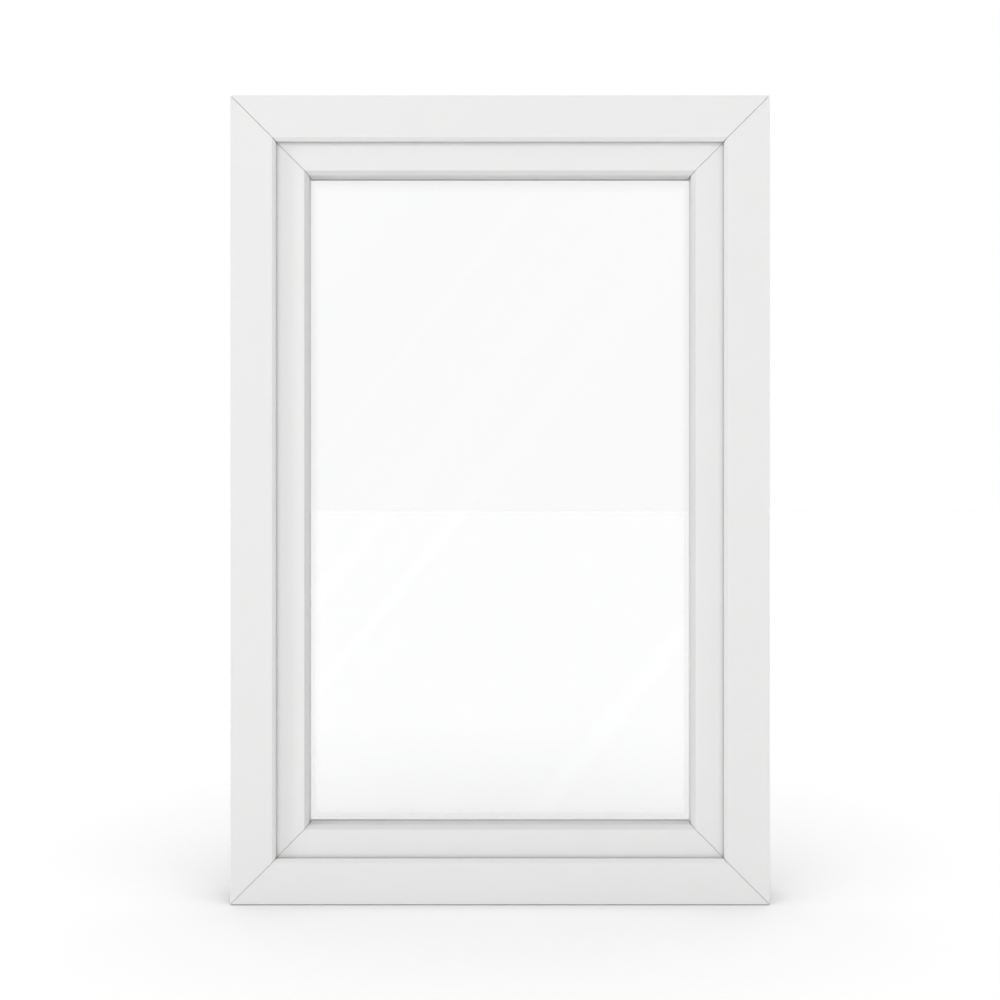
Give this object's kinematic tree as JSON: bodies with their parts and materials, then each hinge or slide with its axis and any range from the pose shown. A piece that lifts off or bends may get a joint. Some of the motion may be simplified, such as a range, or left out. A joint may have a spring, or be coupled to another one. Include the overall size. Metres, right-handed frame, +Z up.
{
  "type": "casement window",
  "caption": "Inward-opening casement window: white mitred plastic frame and sash, clear double glazing, side hinges, turning handle and a sliding lock rod.",
  "frame": {"origin": "centre of the frame's bottom face, at the middle of its width and depth", "axes": "+X across the window with the handle side at +X, +Y from the outside to the room, +Z up"},
  "size_m": [0.8, 0.129, 1.2],
  "materials": {
    "frame_plastic": "satin",
    "sash_plastic": "satin",
    "bead_plastic": "satin",
    "seal": "matte",
    "glazing_seal": "matte",
    "galvanised_steel": "galvanised",
    "glass": "polished",
    "edge_sealant": "matte",
    "spacer_metal": "satin",
    "block_plastic": "matte",
    "hinge_metal": "satin white paint",
    "pin_steel": "satin",
    "bush_plastic": "matte",
    "screw_steel": "zinc plated",
    "lock_steel": "zinc plated",
    "cam_steel": "satin",
    "case_metal": "cast zinc, matte",
    "keep_metal": "zinc plated",
    "handle_metal": "satin white paint"
  },
  "bodies": {
    "frame": {"frame_head": "frame_plastic", "frame_head_gasket": "seal", "frame_head_steel": "galvanised_steel", "frame_left_jamb": "frame_plastic", "frame_left_jamb_gasket": "seal", "frame_left_jamb_steel": "galvanised_steel", "frame_right_jamb": "frame_plastic", "frame_right_jamb_gasket": "seal", "frame_right_jamb_steel": "galvanised_steel", "frame_sill": "frame_plastic", "frame_sill_gasket": "seal", "frame_sill_steel": "galvanised_steel", "bottom_hinge_frame_leaf": "hinge_metal", "top_hinge_frame_leaf": "hinge_metal", "bottom_hinge_pin": "pin_steel", "top_hinge_pin": "pin_steel", "hinge_frame_screws": "screw_steel", "lock_keeps": "keep_metal", "keep_screws": "screw_steel"},
    "sash": {"bead_gasket": "glazing_seal", "bottom_hinge_sash_leaf": "hinge_metal", "edge_sealant": "edge_sealant", "faceplate_screws": "screw_steel", "gearbox_case": "case_metal", "glazing_bead_bottom": "bead_plastic", "glazing_bead_left": "bead_plastic", "glazing_bead_right": "bead_plastic", "glazing_bead_top": "bead_plastic", "handle_base": "bush_plastic", "handle_cap": "handle_metal", "handle_screws": "screw_steel", "hinge_bushes": "bush_plastic", "hinge_sash_screws": "screw_steel", "inner_pane": "glass", "lock_faceplate": "lock_steel", "outer_glazing_gasket": "glazing_seal", "outer_pane": "glass", "sash_bottom_rail": "sash_plastic", "sash_bottom_rail_gasket": "seal", "sash_bottom_rail_steel": "galvanised_steel", "sash_left_stile": "sash_plastic", "sash_left_stile_gasket": "seal", "sash_left_stile_steel": "galvanised_steel", "sash_right_stile": "sash_plastic", "sash_right_stile_gasket": "seal", "sash_right_stile_steel": "galvanised_steel", "sash_top_rail": "sash_plastic", "sash_top_rail_gasket": "seal", "sash_top_rail_steel": "galvanised_steel", "setting_blocks": "block_plastic", "spacer_bar": "spacer_metal", "top_hinge_sash_leaf": "hinge_metal"},
    "handle": {"handle_lever": "handle_metal", "handle_spindle": "cam_steel", "lock_pinion": "cam_steel"},
    "lock_rod": {"drive_rod": "lock_steel", "locking_cams": "cam_steel"}
  },
  "joints": [
    {"name": "sash_hinge", "type": "hinge", "parent": "frame", "child": "sash", "pos_m": [-0.373, 0.0475, 0.6], "axis": [0, 0, 1], "range_deg": [0, 90]},
    {"name": "handle_turn", "type": "hinge", "parent": "sash", "child": "handle", "pos_m": [0.32489, 0.0255, 0.6], "axis": [0, -1, 0], "range_deg": [0, 180]},
    {"name": "lock_slide", "type": "slide", "parent": "sash", "child": "lock_rod", "axis": [0, 0, 1], "range_m": [0, 0.03534]}
  ],
  "couplings": [
    {"joint": "lock_slide", "follows": "handle_turn", "m_per_rad": 0.01125}
  ]
}
